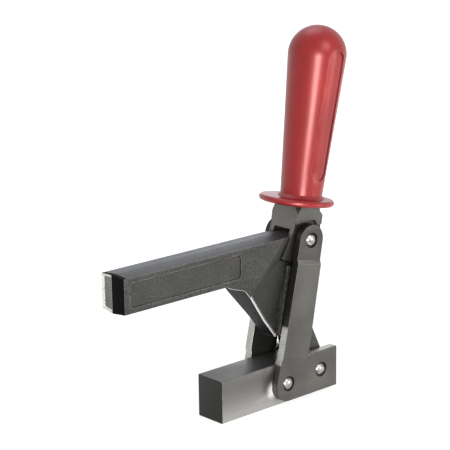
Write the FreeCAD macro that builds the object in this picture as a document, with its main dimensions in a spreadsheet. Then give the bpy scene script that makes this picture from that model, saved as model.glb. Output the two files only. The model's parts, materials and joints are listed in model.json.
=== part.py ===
import FreeCAD, Part
import math
import os
import Sketcher
from types import SimpleNamespace

doc = FreeCAD.newDocument("ToggleClamp")

# all lengths in mm, angles in degrees
sizes = {
    # base bar, from its rear end; the origin is on its underside below the rear pin
    "bar_width": 25.4,
    "bar_height": 31.75,
    "bar_length": 109.7,
    "bar_back": 16.3,
    "bar_bevel": 0.6,
    # pivots in the plane of the clamp: x forward, z up
    "front_rivet_x": 33.4,
    "front_rivet_z": 16.7,
    "rear_pin_z": 19.6,
    "handle_pivot_x": 9.3,
    "handle_pivot_z": 120.5,
    "arm_pivot_back": 3.1,
    "arm_pivot_drop": 23.7,
    "link_top_back": 2.5,
    "link_top_drop": 2.5,
    # side plates
    "plate_thickness": 6.35,
    "column_out": 1.15,
    "head_in": 0.35,
    "head_radius": 11.6,
    "foot_bottom": 3.5,
    "foot_margin": 11.3,
    "foot_corner": 11.0,
    "foot_width": 24.5,
    "column_lean": 11.3,
    "ear_height": 31.1,
    "ear_step": 6.8,
    "lower_bend_height": 23.5,
    "upper_bend_drop": 20.0,
    "bend_run": 3.0,
    # rivets, pins and bushes
    "rivet_diameter": 9.0,
    "pin_diameter": 8.0,
    "ring_width": 1.1,
    "ring_depth": 1.6,
    "head_proud": 0.9,
    "bush_wall": 1.8,
    "running_gap": 0.05,
    "link_top_gap": 0.95,
    "swing_gap": 1.4,
    "side_gap": 0.65,
    # clamp arm
    "arm_width": 24.0,
    "arm_depth": 24.8,
    "arm_rise": 4.3,
    "arm_crown": 1.0,
    "arm_reach": 168.7,
    "gusset_width": 15.0,
    "gusset_reach": 60.2,
    "gusset_drop": 6.4,
    "crease_slope": 1.075,
    "crease_reach": 20.7,
    "leg_rise": 19.65,
    "leg_reach": 26.7,
    "leg_depth": 7.5,
    "leg_bevel": 2.2,
    "panel_depth": 0.8,
    "panel_margin": 3.8,
    "panel_reach": 63.7,
    "fork_width": 7.8,
    "arm_boss_radius": 8.4,
    "arm_eye_radius": 7.2,
    # rear link
    "link_boss_radius": 11.8,
    "link_lean": 25.34,
    "link_shoulder": 37.1,
    "link_shoulder_width": 9.6,
    "tongue_width": 7.2,
    "tongue_depth": 9.6,
    "tongue_run": 18.0,
    "tongue_heel": 9.6,
    "tongue_bend": 10.0,
    "link_eye_radius": 6.8,
    # handle lever
    "lever_width": 26.6,
    "lever_sheet": 4.0,
    "lever_lean": 9.4,
    "lever_height": 29.5,
    "web_reach": 9.7,
    "web_height": 14.5,
    "web_drop": 5.7,
    "flange_gap": 0.3,
    "flange_reach": 23.7,
    "flange_drop": 11.4,
    "lever_boss_radius": 8.4,
    "notch_radius": 7.0,
    "tang_width": 16.0,
    "tang_depth": 17.0,
    "tang_length": 90.0,
    "tang_foot_rise": 15.5,
    # grip, measured up its own axis from the underside of the guard
    "grip_back": 6.65,
    "grip_rise": 24.1,
    "grip_length": 129.5,
    "grip_low_radius": 15.4,
    "grip_dome": 21.3,
    "guard_radius": 27.6,
    "guard_thickness": 4.2,
    "guard_offset": 4.2,
    "guard_bevel": 1.3,
    "grip_flare": 2.4,
    "grip_panel_width": 14.4,
    "grip_panel_low": 18.0,
    "grip_panel_top_gap": 17.0,
    "grip_panel_depth": 0.9,
}


class Size:
    """A number together with the expression that gives it."""

    def __init__(self, number, text):
        self.number = number
        self.text = text

    def __add__(self, other):
        other = as_size(other)
        return Size(self.number + other.number, f"({self.text} + {other.text})")

    def __radd__(self, other):
        return as_size(other) + self

    def __sub__(self, other):
        other = as_size(other)
        return Size(self.number - other.number, f"({self.text} - {other.text})")

    def __rsub__(self, other):
        return as_size(other) - self

    def __mul__(self, other):
        other = as_size(other)
        return Size(self.number * other.number, f"({self.text} * {other.text})")

    def __rmul__(self, other):
        return as_size(other) * self

    def __truediv__(self, other):
        other = as_size(other)
        return Size(self.number / other.number, f"({self.text} / {other.text})")

    def __neg__(self):
        return as_size(0) - self


def as_size(value):
    return value if isinstance(value, Size) else Size(float(value), f"{float(value):.6f}")


sheet = doc.addObject("Spreadsheet::Sheet", "Sizes")
for row, (alias, number) in enumerate(sizes.items(), 1):
    sheet.set(f"A{row}", alias)
    sheet.set(f"B{row}", str(number))
    sheet.setAlias(f"B{row}", alias)
doc.recompute()
size = SimpleNamespace(**{alias: Size(number, f"Sizes.{alias}") for alias, number in sizes.items()})


def cosine(angle):
    return Size(math.cos(math.radians(angle.number)), f"cos({angle.text} * 1deg)")


def sine(angle):
    return Size(math.sin(math.radians(angle.number)), f"sin({angle.text} * 1deg)")


def tangent(angle):
    return Size(math.tan(math.radians(angle.number)), f"tan({angle.text} * 1deg)")


def bind(item, values):
    for name, value in values.items():
        item.setExpression(name, as_size(value).text)


def place(item, x, y, z):
    bind(item, {"Placement.Base.x": x, "Placement.Base.y": y, "Placement.Base.z": z})


def lean_back(item, angle):
    """Turn about the y axis, the top going to the rear."""
    item.Placement.Rotation = FreeCAD.Rotation(FreeCAD.Vector(0, 1, 0), -angle.number)
    item.setExpression("Placement.Rotation.Angle", f"-{angle.text} * 1deg")


def new_body(label):
    body = doc.addObject("PartDesign::Body", label)
    body.Label = label
    return body


def rounded_ends(corners, points):
    """For each corner, where its round starts and ends, and the round's centre if it has one."""
    ends = []
    for i, corner in enumerate(corners):
        if corner[2] is None:
            ends.append((points[i], points[i], None))
            continue
        back = (points[i - 1] - points[i]).normalize()
        ahead = (points[(i + 1) % len(points)] - points[i]).normalize()
        half = back.getAngle(ahead) / 2
        reach = corner[2].number / math.tan(half)
        centre = points[i] + (back + ahead).normalize() * (corner[2].number / math.sin(half))
        ends.append((points[i] + back * reach, points[i] + ahead * reach, centre))
    return ends


def new_sketch(body, plane):
    sketch = body.newObject("Sketcher::SketchObject", body.Label + "_outline")
    origin_plane = [item for item in body.Origin.OriginFeatures if plane in item.Name][0]
    sketch.AttachmentSupport = [(origin_plane, "")]
    sketch.MapMode = "FlatFace"
    return sketch


def pin(sketch, owner, end, x, y):
    """Hold the end of a line, or a point, at x, y."""
    for kind, value in (("DistanceX", as_size(x)), ("DistanceY", as_size(y))):
        number = sketch.addConstraint(Sketcher.Constraint(kind, -1, 1, owner, end, value.number))
        sketch.setExpression(f"Constraints[{number}]", value.text)


def outline(body, plane, corners, offset=None):
    """Closed outline through named corners; a third value rounds the corner."""
    sketch = new_sketch(body, plane)
    if offset is not None:
        bind(sketch, {"AttachmentOffset.Base.z": offset})
    corners = [(as_size(c[0]), as_size(c[1]), as_size(c[2]) if len(c) > 2 else None) for c in corners]
    count = len(corners)
    points = [FreeCAD.Vector(c[0].number, c[1].number, 0) for c in corners]
    if sum(points[i - 1].x * points[i].y - points[i].x * points[i - 1].y for i in range(count)) < 0:
        corners.reverse()
        points.reverse()
    ends = rounded_ends(corners, points)
    lines = [sketch.addGeometry(Part.LineSegment(ends[i][1], ends[(i + 1) % count][0]), False)
             for i in range(count)]

    def tie(kind, *rest):
        return sketch.addConstraint(Sketcher.Constraint(kind, *rest))

    for i, (x, y, radius) in enumerate(corners):
        before, after = lines[i - 1], lines[i]
        owner = after
        if radius is None:
            tie("Coincident", before, 2, after, 1)
        else:
            start, finish, centre = ends[i]
            convex = (points[i] - points[i - 1]).cross(points[(i + 1) % count] - points[i]).z > 0
            first, last = (start, finish) if convex else (finish, start)
            circle = Part.Circle(centre, FreeCAD.Vector(0, 0, 1), radius.number)
            arc = sketch.addGeometry(Part.ArcOfCircle(
                circle, math.atan2(first.y - centre.y, first.x - centre.x),
                math.atan2(last.y - centre.y, last.x - centre.x)), False)
            owner = sketch.addGeometry(Part.Point(points[i]), True)
            tie("Tangent", before, 2, arc, 1 if convex else 2)
            tie("Tangent", after, 1, arc, 2 if convex else 1)
            tie("PointOnObject", owner, 1, before)
            tie("PointOnObject", owner, 1, after)
            sketch.setExpression(f"Constraints[{tie('Radius', arc, radius.number)}]", radius.text)
        pin(sketch, owner, 1, x, y)
    return sketch


def pad(label, plane, corners, offset, length):
    body = new_body(label)
    feature = body.newObject("PartDesign::Pad", label + "_pad")
    feature.Profile = outline(body, plane, corners, offset)
    bind(feature, {"Length": length})
    body.Tip = feature
    return body


def slab(label, corners, low, high):
    """Outline in the plane of the clamp, solid from y = low to y = high."""
    return pad(label, "XZ", corners, -as_size(high), as_size(high) - low)


def prism(label, plane, corners, low, high):
    """Outline in the YZ or XY plane, solid from low to high along its normal."""
    return pad(label, plane, corners, low, as_size(high) - low)


def domed_outline(body, corners, radius, height):
    """Half profile up the z axis through named corners, ending in a dome tangent to its last side."""
    sketch = new_sketch(body, "XZ")
    centre = height.number - radius.number
    foot_x, foot_z = corners[-1][0].number, corners[-1][1].number
    lean = math.asin(radius.number / math.hypot(foot_x, centre - foot_z))
    lean -= math.atan2(foot_x, centre - foot_z)
    points = [FreeCAD.Vector(as_size(x).number, as_size(z).number, 0) for x, z in corners]
    points.append(FreeCAD.Vector(radius.number * math.cos(lean), centre - radius.number * math.sin(lean), 0))
    lines = [sketch.addGeometry(Part.LineSegment(points[i], points[i + 1]), False)
             for i in range(len(corners))]
    circle = Part.Circle(FreeCAD.Vector(0, centre, 0), FreeCAD.Vector(0, 0, 1), radius.number)
    arc = sketch.addGeometry(Part.ArcOfCircle(circle, -lean, math.pi / 2), False)
    axis = sketch.addGeometry(Part.LineSegment(FreeCAD.Vector(0, height.number, 0), points[0]), False)
    links = [("Coincident", lines[i], 2, lines[i + 1], 1) for i in range(len(lines) - 1)]
    links += [("Tangent", lines[-1], 2, arc, 1), ("PointOnObject", arc, 3, -2), ("PointOnObject", arc, 2, -2),
              ("Coincident", arc, 2, axis, 1), ("Coincident", axis, 2, lines[0], 1)]
    for link in links:
        sketch.addConstraint(Sketcher.Constraint(*link))
    for line, (x, z) in zip(lines, corners):
        pin(sketch, line, 1, x, z)
    for kind, where, value in (("Radius", (arc,), radius), ("DistanceY", (-1, 1, arc, 2), height)):
        number = sketch.addConstraint(Sketcher.Constraint(kind, *where, value.number))
        sketch.setExpression(f"Constraints[{number}]", value.text)
    return sketch


def turned(label, corners, dome=None):
    """Profile turned about the z axis; corners are radius and height, a dome its radius and top."""
    body = new_body(label)
    feature = body.newObject("PartDesign::Revolution", label + "_turn")
    profile = domed_outline(body, corners, *dome) if dome else outline(body, "XZ", corners)
    feature.Profile = profile
    feature.ReferenceAxis = (profile, ["V_Axis"])
    feature.Angle = 360
    body.Tip = feature
    return body


def rod(label, radius, x, z, low, high):
    """Round bar across the clamp, from y = low to y = high."""
    item = doc.addObject("Part::Cylinder", label)
    item.Placement.Rotation = FreeCAD.Rotation(FreeCAD.Vector(1, 0, 0), -90)
    bind(item, {"Radius": radius, "Height": as_size(high) - low})
    place(item, x, low, z)
    return item


def join(label, *items):
    item = doc.addObject("Part::MultiFuse", label)
    item.Shapes = list(items)
    return item


def cut(label, base, *tools):
    item = doc.addObject("Part::Cut", label)
    item.Base = base
    item.Tool = tools[0] if len(tools) == 1 else join(label + "_tools", *tools)
    return item


def common(label, first, second):
    item = doc.addObject("Part::MultiCommon", label)
    item.Shapes = [first, second]
    return item


def mirrored(label, source):
    item = doc.addObject("Part::Mirroring", label)
    item.Source = source
    item.Normal = FreeCAD.Vector(0, 1, 0)
    return item


def sleeve(label, bore, wall, x, z, low, high):
    return cut(label, rod(label + "_outside", bore + wall, x, z, low, high),
               rod(label + "_bore", bore, x, z, low - 1, high + 1))


nodes = []


def keep(item):
    item.Label = item.Name
    nodes.append(item)
    return item


# places and fits that several pieces share
plate_inner = size.bar_width / 2
plate_outer = plate_inner + size.plate_thickness
column_outer = plate_outer + size.column_out
head_inner = plate_inner - size.head_in
head_outer = plate_outer - size.head_in
flange_half = head_inner - size.flange_gap
flange_inner = flange_half - size.lever_sheet
bar_front = size.bar_length - size.bar_back
lever_half = size.lever_width / 2
arm_half = size.arm_width / 2
gusset_half = size.gusset_width / 2
fork_half = size.fork_width / 2
tongue_half = size.tongue_width / 2
link_half = plate_inner - size.side_gap
rivet_radius = size.rivet_diameter / 2
pin_radius = size.pin_diameter / 2
rivet_bore = rivet_radius + size.running_gap
pin_bore = pin_radius + size.running_gap
pivot_x = size.handle_pivot_x
pivot_z = size.handle_pivot_z
arm_pivot_x = pivot_x - size.arm_pivot_back
arm_pivot_z = pivot_z - size.arm_pivot_drop
link_top_x = pivot_x - size.link_top_back
link_top_z = pivot_z - size.link_top_drop
arm_top = pivot_z + size.arm_rise
arm_bottom = arm_top - size.arm_depth
arm_tip = pivot_x + size.arm_reach
leg_bottom = size.bar_height + size.leg_rise


def by_pivot(ahead, above):
    """A point given from the handle's pivot."""
    return pivot_x + ahead, pivot_z + above


# base bar, with a low tongue under the rear link
bar_block = slab("bar_block", [
    (-size.bar_back, 0), (bar_front, 0), (bar_front, size.bar_height),
    (size.link_boss_radius + size.swing_gap, size.bar_height, 1.5),
    (size.link_boss_radius + size.swing_gap, size.rear_pin_z - size.link_boss_radius - size.swing_gap, 2.5),
    (-size.bar_back, size.rear_pin_z - size.link_boss_radius - size.swing_gap)], -plate_inner, plate_inner)
bevel_y = plate_inner - size.bar_bevel
bevel_z = size.bar_height - size.bar_bevel
bar_section = prism("bar_section", "YZ", [
    (-bevel_y, 0), (bevel_y, 0), (plate_inner, size.bar_bevel), (plate_inner, bevel_z),
    (bevel_y, size.bar_height), (-bevel_y, size.bar_height), (-plate_inner, bevel_z),
    (-plate_inner, size.bar_bevel)], -size.bar_back, bar_front)
base_bar = keep(cut("base_bar", common("bar_solid", bar_block, bar_section), rod(
    "bar_hole", rivet_radius, size.front_rivet_x, size.front_rivet_z, -size.bar_width, size.bar_width)))

# side plate: foot, leaning column bent outwards above the bar, and a head bent in again
foot_front = size.front_rivet_x + size.foot_margin
foot_rear = foot_front - size.foot_width
ear_top = size.foot_bottom + size.ear_height
lower_bend = size.foot_bottom + size.lower_bend_height
upper_bend = pivot_z - size.upper_bend_drop
plate_low = head_inner - 1
plate_high = column_outer + 1
head_run = size.head_radius * cosine(size.column_lean)
head_lift = size.head_radius * sine(size.column_lean)
column = slab("column_outline", [
    (foot_rear, size.foot_bottom), (foot_front, size.foot_bottom, size.foot_corner),
    (foot_front, size.front_rivet_z + 2), by_pivot(head_run, head_lift), by_pivot(-head_run, -head_lift)],
    plate_low, plate_high)
head = rod("head_outline", size.head_radius, pivot_x, pivot_z, plate_low, plate_high)
half_run = size.bend_run / 2
bent_sheet = prism("bent_sheet", "YZ", [
    (plate_inner, -20), (plate_outer, -20), (plate_outer, lower_bend - half_run),
    (column_outer, lower_bend + half_run), (column_outer, upper_bend - half_run),
    (head_outer, upper_bend + half_run), (head_outer, pivot_z + 40), (head_inner, pivot_z + 40),
    (head_inner, upper_bend + half_run), (plate_inner + size.column_out, upper_bend - half_run),
    (plate_inner + size.column_out, lower_bend + half_run), (plate_inner, lower_bend - half_run)], -60, 100)
lean_back(bent_sheet, size.column_lean)
ear = slab("ear", [
    (-size.bar_back, size.foot_bottom), (foot_rear + 3, size.foot_bottom), (foot_rear + 3, ear_top - 6),
    (foot_rear - size.ear_step, ear_top - 1), (foot_rear - size.ear_step - 1, ear_top),
    (-size.bar_back, ear_top, 1)], plate_inner, plate_outer)
plate_blank = join("plate_blank", common("bent_column", join("plate_outline", column, head), bent_sheet), ear)
plate_holes = []
for name, x, z, face in (("front", size.front_rivet_x, size.front_rivet_z, plate_outer),
                         ("rear", 0, size.rear_pin_z, plate_outer), ("top", pivot_x, pivot_z, head_outer)):
    plate_holes.append(rod(f"{name}_hole", rivet_radius, x, z, plate_inner - 2, plate_outer + 4))
    plate_holes.append(rod(f"{name}_ring", rivet_radius + size.ring_width, x, z, face - size.ring_depth,
                           plate_outer + 4))
side_plate_near = keep(cut("side_plate_near", plate_blank, *plate_holes))
side_plate_far = keep(mirrored("side_plate_far", side_plate_near))

# rivets standing a little proud of the plates; the handle's two are stubs that end inside its flanges
rivet_end = plate_outer + size.head_proud
front_rivet = keep(rod("front_rivet", rivet_radius, size.front_rivet_x, size.front_rivet_z,
                       -rivet_end, rivet_end))
rear_pivot_pin = keep(rod("rear_pivot_pin", rivet_radius, 0, size.rear_pin_z, -rivet_end, rivet_end))
handle_rivet_near = keep(rod("handle_rivet_near", rivet_radius, pivot_x, pivot_z,
                             flange_inner, head_outer + size.head_proud))
handle_rivet_far = keep(mirrored("handle_rivet_far", handle_rivet_near))

# rear link: wide boss and shoulder on the rear pin, thin tongue bowed back behind the arm's pivot
boss = size.link_boss_radius
side_x = -boss * cosine(size.link_lean)
side_z = size.rear_pin_z + boss * sine(size.link_lean)
shoulder_x = side_x + size.link_shoulder * sine(size.link_lean)
shoulder_z = side_z + size.link_shoulder * cosine(size.link_lean)
shoulder_front = shoulder_x + size.link_shoulder_width
link_wide = slab("link_wide", [
    (side_x, side_z), (shoulder_x, shoulder_z), (shoulder_front, shoulder_z, 1.5),
    (shoulder_front, size.bar_height + 8), (boss, size.bar_height + 0.5), (boss, size.rear_pin_z),
    (0, size.rear_pin_z)], -link_half, link_half)
link_boss = rod("link_boss", boss, 0, size.rear_pin_z, -link_half, link_half)
bush_radius = pin_bore + size.bush_wall
tongue_front = arm_pivot_x - bush_radius - size.swing_gap - 0.55
tongue_back = tongue_front - size.tongue_depth
tongue_low = shoulder_z - size.tongue_run
tongue_heel = shoulder_x - size.tongue_heel
link_tongue = slab("link_tongue", [
    (shoulder_front - 2, tongue_low), (shoulder_front - 3, shoulder_z),
    (tongue_front + 6.1, shoulder_z + size.tongue_run, 20),
    (tongue_front, arm_pivot_z - 10.8, size.tongue_bend), (tongue_front, arm_pivot_z + 6.6, 6),
    (link_top_x + 5.4, link_top_z - 2.6), (link_top_x, link_top_z + 2), (link_top_x - 5.2, link_top_z + 3),
    (tongue_back, arm_pivot_z + 7.2, 8), (tongue_back - 0.4, arm_pivot_z - 8.8, size.tongue_bend),
    (tongue_heel, shoulder_z), (tongue_heel - 1.6, tongue_low)], -tongue_half, tongue_half)
link_eye = rod("link_eye", size.link_eye_radius, link_top_x, link_top_z, -tongue_half, tongue_half)
link_bore_end = link_half + 1
rear_link = keep(cut(
    "rear_link", join("link_solid", link_wide, link_boss, link_tongue, link_eye),
    rod("link_low_bore", rivet_bore + size.bush_wall, 0, size.rear_pin_z, -link_bore_end, link_bore_end),
    rod("link_top_bore", pin_radius + size.link_top_gap, link_top_x, link_top_z,
        -link_bore_end, link_bore_end)))
link_bush = keep(sleeve("link_bush", rivet_bore, size.bush_wall, 0, size.rear_pin_z, -link_half, link_half))
link_washer_near = keep(sleeve("link_washer_near", rivet_bore, size.bush_wall + 2, 0, size.rear_pin_z,
                               link_half + size.running_gap, plate_inner))
link_washer_far = keep(mirrored("link_washer_far", link_washer_near))

# clamp arm: crowned beam, gusset narrowing behind a slanting crease, cross leg, forked root
beam_rear = pivot_x + 8.2
beam = prism("beam", "YZ", [
    (-arm_half, arm_bottom), (0, arm_bottom - size.arm_crown), (arm_half, arm_bottom),
    (arm_half, arm_top), (0, arm_top + size.arm_crown), (-arm_half, arm_top)], beam_rear, arm_tip + 4)
beam_plan = prism("beam_plan", "XY", [
    (beam_rear, -arm_half - 1), (arm_tip, -arm_half), (arm_tip + size.arm_crown, 0), (arm_tip, arm_half),
    (beam_rear, arm_half + 1)], arm_bottom - 5, arm_top + 5)
leg_front = pivot_x + size.leg_reach
gusset = slab("gusset", [
    (leg_front, leg_bottom - 1), (pivot_x + size.gusset_reach, arm_bottom - size.gusset_drop, 9),
    (pivot_x + size.gusset_reach + 20.5, arm_bottom, 12), (pivot_x + size.gusset_reach + 20.5, arm_top),
    (pivot_x + 20.7, arm_top), (pivot_x + 10.7, pivot_z - 10.5), (leg_front - 8.5, leg_bottom + 14.6)],
    -arm_half, arm_half)
crease_top = arm_top + size.crease_slope * (pivot_x + size.crease_reach)
narrowing = new_body("narrowing")
narrow_pad = narrowing.newObject("PartDesign::Pad", "narrowing_pad")
narrow_pad.Profile = outline(narrowing, "YZ", [
    (arm_half, crease_top), (arm_half + 2, crease_top), (arm_half + 2, leg_bottom - 1.4),
    (gusset_half, leg_bottom - 1.4), (gusset_half, crease_top - 41)])
narrow_pad.UseCustomVector = True
narrow_pad.AlongSketchNormal = True
narrow_pad.Direction = FreeCAD.Vector(1, 0, -size.crease_slope.number)
bind(narrow_pad, {"Length": 100})
narrowing.Tip = narrow_pad
arm_block = cut("arm_block", join("arm_rough", common("beam_solid", beam, beam_plan), gusset), narrowing,
                mirrored("narrowing_far", narrowing))
leg = slab("leg", [
    (leg_front - 0.3, leg_bottom + size.leg_bevel), (leg_front - 1.8, leg_bottom, 0.4),
    (leg_front - size.leg_depth, leg_bottom, 2), by_pivot(10.7, -18.5), by_pivot(18.2, -17)],
    -arm_half, arm_half)
root = slab("root", [
    (link_top_x, link_top_z + size.arm_eye_radius), (pivot_x + 20.7, arm_top), (pivot_x + 30.7, arm_bottom),
    (leg_front - 2, leg_bottom + 12.6), (leg_front - 10, leg_bottom + 18.6),
    (arm_pivot_x + 1.5, arm_pivot_z - size.arm_boss_radius + 0.2),
    (arm_pivot_x - size.arm_boss_radius, arm_pivot_z),
    (link_top_x - size.arm_eye_radius, link_top_z)], -gusset_half, gusset_half)
root_eye = rod("root_eye", size.arm_eye_radius, link_top_x, link_top_z, -gusset_half, gusset_half)
root_boss = rod("root_boss", size.arm_boss_radius, arm_pivot_x, arm_pivot_z, -gusset_half, gusset_half)
flange_nose = by_pivot(size.flange_reach, -size.flange_drop)
flange_top = by_pivot(13, 5.6)
flange_low = by_pivot(9, -size.flange_drop - 4.7)
room_lead = size.swing_gap + 0.35
flange_room = slab("flange_room", [
    by_pivot(-21.3, -40.5), by_pivot(6.2, -36.5), (flange_low[0] + 2, flange_low[1] + 0.1),
    (flange_nose[0] + room_lead, flange_nose[1]), (flange_top[0] + room_lead - 0.5, flange_top[1] + 1),
    (flange_top[0] + 0.7, flange_top[1] + 8), by_pivot(-21.3, 13.5)], gusset_half, arm_half + 3)
slot_front = link_top_x + size.link_eye_radius + size.swing_gap
fork_slot = slab("fork_slot", [
    by_pivot(-21.3, -40.5), (slot_front, pivot_z - 40.5, 3), (slot_front, pivot_z + 13.5),
    by_pivot(-21.3, 13.5)], -fork_half, fork_half)
panel_low = arm_bottom + size.panel_margin
panel_high = arm_top - size.panel_margin
arm_panel = slab("arm_panel", [
    (pivot_x + size.panel_reach, panel_low, 7), (arm_tip - 5, panel_low, 2), (arm_tip - 5, panel_high, 2),
    (pivot_x + size.panel_reach, panel_high, 7)], arm_half - size.panel_depth, arm_half + 2)
clamp_arm = keep(cut(
    "clamp_arm", join("arm_whole", arm_block, leg, root, root_eye, root_boss), flange_room,
    mirrored("flange_room_far", flange_room), fork_slot, arm_panel, mirrored("arm_panel_far", arm_panel),
    rod("arm_bore", bush_radius, arm_pivot_x, arm_pivot_z, -arm_half, arm_half),
    rod("arm_top_bore", pin_radius, link_top_x, link_top_z, -arm_half, arm_half)))
arm_bush = keep(sleeve("arm_bush", pin_bore, size.bush_wall, arm_pivot_x, arm_pivot_z,
                       -gusset_half, gusset_half))
link_pin = keep(rod("link_pin", pin_radius, link_top_x, link_top_z, -gusset_half, gusset_half))

# handle lever: channel with its web in front, flanges stepping in between the side plates
lever_slope = tangent(size.lever_lean)
lever_top = pivot_z + size.lever_height
web_foot = pivot_z + size.web_height - size.web_drop


def web_front(height, back=0):
    """The web's leaning front face at a height, or a plane behind it."""
    return pivot_x + size.web_reach - (height - pivot_z - size.web_height) * lever_slope - back


channel = slab("channel", [
    by_pivot(-15.3, 8.5), (pivot_x - 16.6, pivot_z + 15.3, 1.5), (pivot_x - 13.7, pivot_z + 18.7, 1.5),
    (pivot_x - 13.9, lever_top), (web_front(lever_top), lever_top), (web_front(web_foot), web_foot, 1)],
    -lever_half, lever_half)
arch = slab("arch", [
    by_pivot(18, -10), by_pivot(18, 12), (pivot_x - 9.8, pivot_z + 13.6, 5), by_pivot(-12.8, -10)],
    flange_half, lever_half + 1)
flange = slab("flange", [
    by_pivot(-15.3, 6.5), by_pivot(-15.9, 14), (web_front(pivot_z + 15), pivot_z + 15), flange_top,
    (*flange_nose, 1.5), (*flange_low, 6), by_pivot(3.7, -28.5),
    (arm_pivot_x, arm_pivot_z - size.lever_boss_radius), (arm_pivot_x - size.lever_boss_radius, arm_pivot_z)],
    -flange_half, flange_half)
flange_boss = rod("flange_boss", size.lever_boss_radius, arm_pivot_x, arm_pivot_z, -flange_half, flange_half)
low_room = slab("low_room", [
    by_pivot(-40, -55), by_pivot(50, -55), (pivot_x + 50, web_foot), (pivot_x - 40, web_foot)],
    -flange_inner, flange_inner)
room_half = lever_half - size.lever_sheet
high_room = slab("high_room", [
    (pivot_x - 40, web_foot - 2), (web_front(web_foot - 2, size.lever_sheet), web_foot - 2),
    (web_front(lever_top + 1, size.lever_sheet), lever_top + 1), (pivot_x - 40, lever_top + 1)],
    -room_half, room_half)
notch = doc.addObject("Part::Cone", "notch")
bind(notch, {"Radius1": 0.02, "Radius2": size.notch_radius, "Height": 10})
place(notch, web_front(pivot_z + 19) + 0.2, lever_half + 0.1, pivot_z + 19)
handle_lever = keep(cut(
    "handle_lever",
    join("lever_rough", cut("channel_arched", channel, arch, mirrored("arch_far", arch)),
         flange, flange_boss),
    low_room, high_room, notch, mirrored("notch_far", notch),
    rod("lever_pivot_bore", rivet_bore + size.bush_wall, pivot_x, pivot_z, -lever_half - 1, lever_half + 1),
    rod("lever_arm_bore", pin_radius, arm_pivot_x, arm_pivot_z, -lever_half, lever_half)))
tang_foot = pivot_z + size.tang_foot_rise
tang_end = lever_top + size.tang_length
tang_back = size.lever_sheet + size.tang_depth
handle_tang = keep(slab("handle_tang", [
    (web_front(tang_foot, tang_back), tang_foot, 2), (web_front(tang_foot, size.lever_sheet), tang_foot),
    (web_front(tang_end, size.lever_sheet), tang_end, 3), (web_front(tang_end, tang_back), tang_end, 3)],
    -size.tang_width / 2, size.tang_width / 2))
handle_bush_near = keep(sleeve("handle_bush_near", rivet_bore, size.bush_wall, pivot_x, pivot_z,
                               flange_inner, flange_half))
handle_bush_far = keep(mirrored("handle_bush_far", handle_bush_near))
arm_pin = keep(rod("arm_pin", pin_radius, arm_pivot_x, arm_pivot_z, -flange_half, flange_half))


# moulded grip with hand guard, made upright and leaned back with the lever
def grip_turning(label, depth):
    """The grip's turned form, or the same form set back by a depth."""
    return turned(label, [
        (0, 1), (size.grip_low_radius + size.grip_flare - depth, 1),
        (size.grip_low_radius + size.grip_flare - depth, size.guard_thickness),
        (size.grip_low_radius - depth, size.guard_thickness + size.grip_flare)],
        (size.grip_dome - depth, size.grip_length - depth))


rim = size.guard_radius - size.guard_bevel
guard = turned("guard", [
    (0, 0), (rim, 0), (size.guard_radius, size.guard_bevel),
    (size.guard_radius, size.guard_thickness - size.guard_bevel), (rim, size.guard_thickness),
    (0, size.guard_thickness)])
place(guard, size.guard_offset, 0, 0)
panel_half = size.grip_panel_width / 2
panel_round = panel_half - 0.1
panel_end = size.grip_length - size.grip_panel_top_gap
grip_panel = slab("grip_panel", [
    (-panel_half, size.grip_panel_low, panel_round), (panel_half, size.grip_panel_low, panel_round),
    (panel_half, panel_end, panel_round), (-panel_half, panel_end, panel_round)], 0, 40)
panel_near = cut("panel_near", grip_panel, grip_turning("grip_core", size.grip_panel_depth))
grip_upright = cut("grip_upright", join("grip_rough", grip_turning("grip_shaft", 0), guard), panel_near,
                   mirrored("panel_far", panel_near))
lean_back(grip_upright, size.lever_lean)
place(grip_upright, pivot_x - size.grip_back, 0, pivot_z + size.grip_rise)
grip = keep(cut("grip", grip_upright, handle_lever, handle_tang))

doc.recompute()
faults = [item.Label for item in doc.Objects
          if "Invalid" in item.State or "Error" in item.State or "Up-to-date" not in item.State]
faults += [item.Label for item in nodes if item.Shape.isNull() or not item.Shape.isValid()]
if faults:
    raise RuntimeError(f"not built: {faults}")
os.makedirs("parts", exist_ok=True)
for item in nodes:
    item.Shape.exportStep(f"parts/{item.Name}.step")
print(f"{len(nodes)} pieces written")
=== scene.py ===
# toggle clamp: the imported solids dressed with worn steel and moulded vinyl, on a plain pale floor
import bmesh
import bpy
import json
import math
from mathutils import Matrix, Vector


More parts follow.
